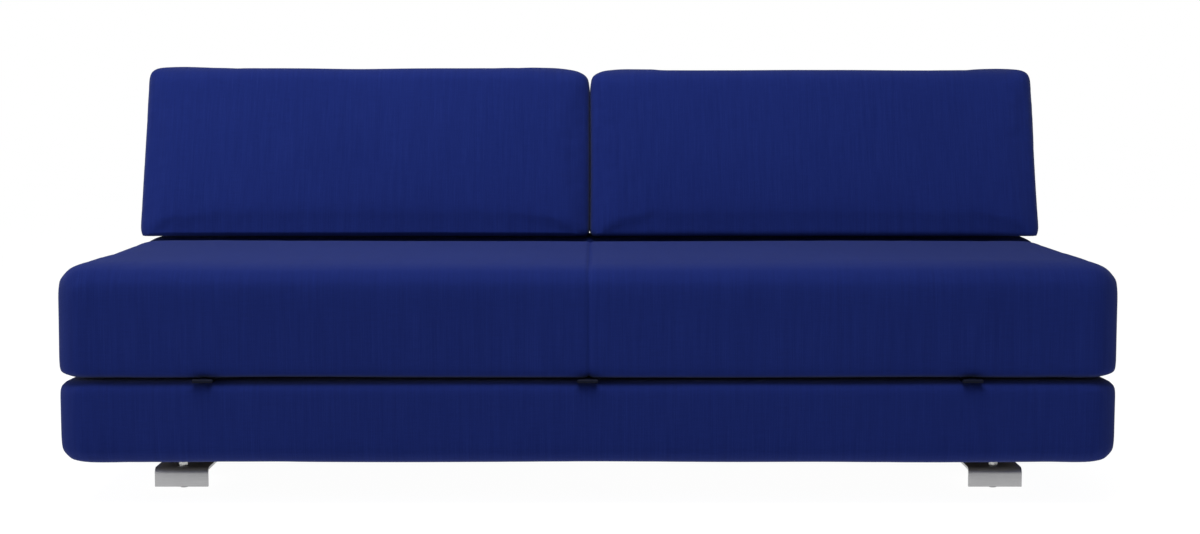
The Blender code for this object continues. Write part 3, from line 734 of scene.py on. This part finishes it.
def put_at(bm, where):
    bmesh.ops.translate(bm, vec=where, verts=bm.verts)
    return bm


def levelling_glide(end):
    """A moulded foot on a threaded stud."""
    low, high = span(f"levelling_glide_{end}")
    profile = [(0, 0), (7.4, 0), (8.6, 0.5), (9.0, 1.6), (9.2, 3.6), (10.9, 7.6), (11.2, 8.6), (11.0, 9.6)]
    profile += [(10.2, 10), (6.4, 10.2), (5.4, 10.8), (4.4, 11.4)]
    for turn in range(THREAD_TURNS):
        level = 12 + THREAD_PITCH * turn
        profile += [(4.35, level), (4.95, level + 0.6), (4.95, level + 0.8)]
    profile += [(4.3, 60.4), (3.7, 61.7), (0, 62)]
    bm = spun([(r * MM, z * MM) for r, z in profile])
    put_at(bm, ((low.x + high.x) / 2, (low.y + high.y) / 2, low.z))
    node = f"levelling_glide_{end}"
    made = piece(f"threaded_glide_{end}", bm, MOULDED, body_of(node))
    made.data.materials.append(ZINC)
    for face in made.data.polygons:
        face.material_index = 1 if face.center.z > low.z + 10.6 * MM else 0
    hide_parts(node)


def chamfered_nut(end):
    node = f"glide_nut_{end}"
    low, high = span(node)
    bm = bmesh.new()
    bmesh.ops.create_cone(
        bm, cap_ends=True, segments=6, radius1=9.7 * MM, radius2=9.7 * MM, depth=high.z - low.z
    )
    rim = [e for e in bm.edges if abs(e.verts[0].co.z - e.verts[1].co.z) < 1e-6]
    bevel(bm, rim, 0.9 * MM, 2)
    bore = bmesh.new()
    bmesh.ops.create_cone(bore, cap_ends=True, segments=28, radius1=NUT_BORE, radius2=NUT_BORE, depth=0.05)
    made = raw(f"chamfered_nut_{end}", bm)
    cut_away(made, bore)
    finish_fitting(made, (low + high) / 2, node, math.radians(25))


def finish_fitting(made, where, node, smooth):
    put_points(made.data, points(made.data) + np.array(where))
    made.data.materials.append(ZINC)
    made.data.shade_smooth()
    made.data.set_sharp_from_angle(angle=smooth)
    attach(made, body_of(node))
    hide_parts(node)


def socket_bolt(end, place):
    """A button head under the plate, with a hexagon socket, and its shank up into the rail."""
    node = f"foot_bolt_{end}_{place}"
    low, high = span(node)
    profile = [(0, 0.3), (3.6, 0.3), (5.2, 1.0), (6.4, 2.2), (7.0, 3.6), (7.0, 4.0)]
    profile += [(4.0, 4.0), (4.0, 39.6), (3.2, 40.3), (0, 40.3)]
    made = raw(f"socket_bolt_{end}_{place}", spun([(r * MM, z * MM) for r, z in profile], 24))
    bm = bmesh.new()
    bmesh.ops.create_cone(bm, cap_ends=True, segments=6, radius1=2.7 * MM, radius2=2.7 * MM, depth=5 * MM)
    cut_away(made, bm)
    where = ((low.x + high.x) / 2, (low.y + high.y) / 2, low.z)
    finish_fitting(made, where, node, math.radians(35))


def rear_zip(side, cushion):
    """A closed zip low on the cushion's back: tape, teeth, slider and pull, laid on the cloth."""
    tree = BVHTree.FromPolygons(
        [v.co for v in cushion.data.vertices], [p.vertices for p in cushion.data.polygons]
    )
    low, high = span(f"cushion_cover_{side}")
    start, end, level = low.x + ZIP_INSET, high.x - ZIP_INSET, low.z + ZIP_LEVEL

    def on_back(x, z, out):
        hit, normal, _, _ = tree.ray_cast(Vector((x, 2, z)), Vector((0, -1, 0)))
        return hit + normal * out, normal

    tape = bmesh.new()
    bmesh.ops.create_grid(tape, x_segments=90, y_segments=3, size=0.5)
    for v in tape.verts:
        v.co, _ = on_back(start + (v.co.x + 0.5) * (end - start), level + v.co.y * ZIP_WIDTH, 0.5 * MM)
    bmesh.ops.recalc_face_normals(tape, faces=tape.faces)
    if sum(f.normal.y for f in tape.faces) < 0:
        bmesh.ops.reverse_faces(tape, faces=tape.faces)
    bmesh.ops.solidify(tape, geom=tape.faces, thickness=0.9 * MM)
    bmesh.ops.recalc_face_normals(tape, faces=tape.faces)
    piece(f"zip_tape_{side}", tape, WEBBING, f"back_cushion_{side}")

    teeth = bmesh.new()
    count = int((end - start - 0.02) / TOOTH_PITCH)
    for number in range(count):
        x = start + 0.01 + number * TOOTH_PITCH
        at, normal = on_back(x, level + (0.5 if number % 2 else -0.5) * MM, 1.5 * MM)
        turn = normal.to_track_quat("Z", "Y").to_matrix().to_4x4()
        shape = Matrix.Translation(at) @ turn @ Matrix.Diagonal((1.7 * MM, 4.6 * MM, 1.5 * MM, 1))
        bmesh.ops.create_cube(teeth, size=1.0, matrix=shape)
    piece(f"zip_teeth_{side}", teeth, ENAMEL, f"back_cushion_{side}", 0)

    slider = bmesh.new()
    at, normal = on_back(start + 0.014, level, 2.6 * MM)
    turn = normal.to_track_quat("Z", "Y").to_matrix().to_4x4()
    for size, shift in (((11, 8.5, 3.2), (0, 0, 0)), ((3, 5, 2.2), (0, 0, 2.2)), ((5.5, 22, 1.1), (0, -12, 3.2))):
        place = Matrix.Translation(at) @ turn @ Matrix.Translation(Vector(shift) * MM)
        bmesh.ops.create_cube(slider, size=1.0, matrix=place @ Matrix.Diagonal((*(Vector(size) * MM), 1)))
    bevel(slider, slider.edges, 0.45 * MM, 2)
    piece(f"zip_slider_{side}", slider, ZINC, f"back_cushion_{side}")


EASED = {  # the start of the names, the finish, its slot and how far the edges are eased
    "foot_plate": (PLATE, "foot_metal", 0.7 * MM),
    "back_post": (ENAMEL, "black_steel", 0.8 * MM),
    "bed_leg_left": (ENAMEL, "black_steel", 0.6 * MM),
    "bed_leg_right": (ENAMEL, "black_steel", 0.6 * MM),
    "base_deck": (DECK, "plywood", 1.0 * MM),
    "base_front_rail": (PINE, "timber", 1.6 * MM),
    "base_rear_rail": (PINE, "timber", 1.6 * MM),
    "base_centre_rail": (PINE, "timber", 1.6 * MM),
}


def ease_hard_parts():
    for node in list(frame["nodes"]):
        for start, (material, slot, edge) in EASED.items():
            if node.startswith(start):
                eased(node, material, edge)


# Stage ---------------------------------------------------------------------------


def floor():
    bm = bmesh.new()
    bmesh.ops.create_grid(bm, x_segments=1, y_segments=1, size=30)
    bmesh.ops.translate(bm, vec=(0, 0, FLOOR_Z), verts=bm.verts)
    made = piece("studio_floor", bm, floor_paint(), None, 0)


def soft_light(name, place, aim, size, power):
    data = bpy.data.lights.new(name, "AREA")
    data.shape = "RECTANGLE"
    data.size, data.size_y = size
    data.energy = power
    made = bpy.data.objects.new(name, data)
    made.location = place
    made.rotation_euler = (Vector(aim) - Vector(place)).to_track_quat("-Z", "Y").to_euler()
    bpy.context.scene.collection.objects.link(made)


def studio():
    world = bpy.data.worlds.new("studio_air")
    world.use_nodes = True
    nodes, links = world.node_tree.nodes, world.node_tree.links
    backdrop = nodes["Background"]
    backdrop.inputs["Color"].default_value = (1, 1, 1, 1)
    backdrop.inputs["Strength"].default_value = BACKDROP
    air = nodes.new("ShaderNodeBackground")
    air.inputs["Color"].default_value = (0.97, 0.98, 1, 1)
    air.inputs["Strength"].default_value = AIR
    seen = nodes.new("ShaderNodeLightPath")
    mixed = nodes.new("ShaderNodeMixShader")
    links.new(seen.outputs["Is Camera Ray"], mixed.inputs["Fac"])
    links.new(air.outputs["Background"], mixed.inputs[1])
    links.new(backdrop.outputs["Background"], mixed.inputs[2])
    links.new(mixed.outputs["Shader"], nodes["World Output"].inputs["Surface"])
    bpy.context.scene.world = world
    bpy.context.scene.view_settings.view_transform = "Standard"
    soft_light("overhead_bank", (-0.50, FRONT_Y - 0.45, 2.9), (0, 0.15, 0.45), (3.2, 1.1), 106)
    soft_light("left_wall", (-3.6, FRONT_Y - 1.1, 1.1), (-0.9, 0, 0.35), (1.6, 1.6), 42)


def camera():
    data = bpy.data.cameras.new("camera")
    data.lens = LENS
    data.sensor_width = 36
    data.clip_end = 200
    made = bpy.data.objects.new("camera", data)
    made.location = EYE
    made.rotation_euler = (math.pi / 2 - TILT, 0, 0)
    bpy.context.scene.collection.objects.link(made)
    bpy.context.scene.camera = made


CAD_FINISHES = {
    "base_deck": DECK,
    "seat_board": PLY,
    "base_": PINE,
    "ledge_frame": PINE,
    "foot_plate": PLATE,
    "foot_bolt": ZINC,
    "glide_nut": ZINC,
    "hinge_pin": NAVY,
    "hinge_": NAVY,
    "bed_leg_bolt": ZINC,
    "bed_leg": ENAMEL,
    "back_post": ENAMEL,
    "levelling_glide": MOULDED,
    "pull_tab": WEBBING,
}


def finish_cad_nodes():
    for node, made in frame["nodes"].items():
        for start, material in CAD_FINISHES.items():
            if node.startswith(start):
                made.data.materials.clear()
                made.data.materials.append(material)
                break


camera()
studio()
floor()
finish_cad_nodes()
seat_mattress()
base_mattress()
ledge_pad()
for cushion_side in SIDES:
    rear_zip(cushion_side, back_cushion(cushion_side))
ease_hard_parts()
for foot in FEET:
    levelling_glide(foot)
    chamfered_nut(foot)
    for bolt in ("inner", "outer"):
        socket_bolt(foot, bolt)

bpy.context.view_layer.update()
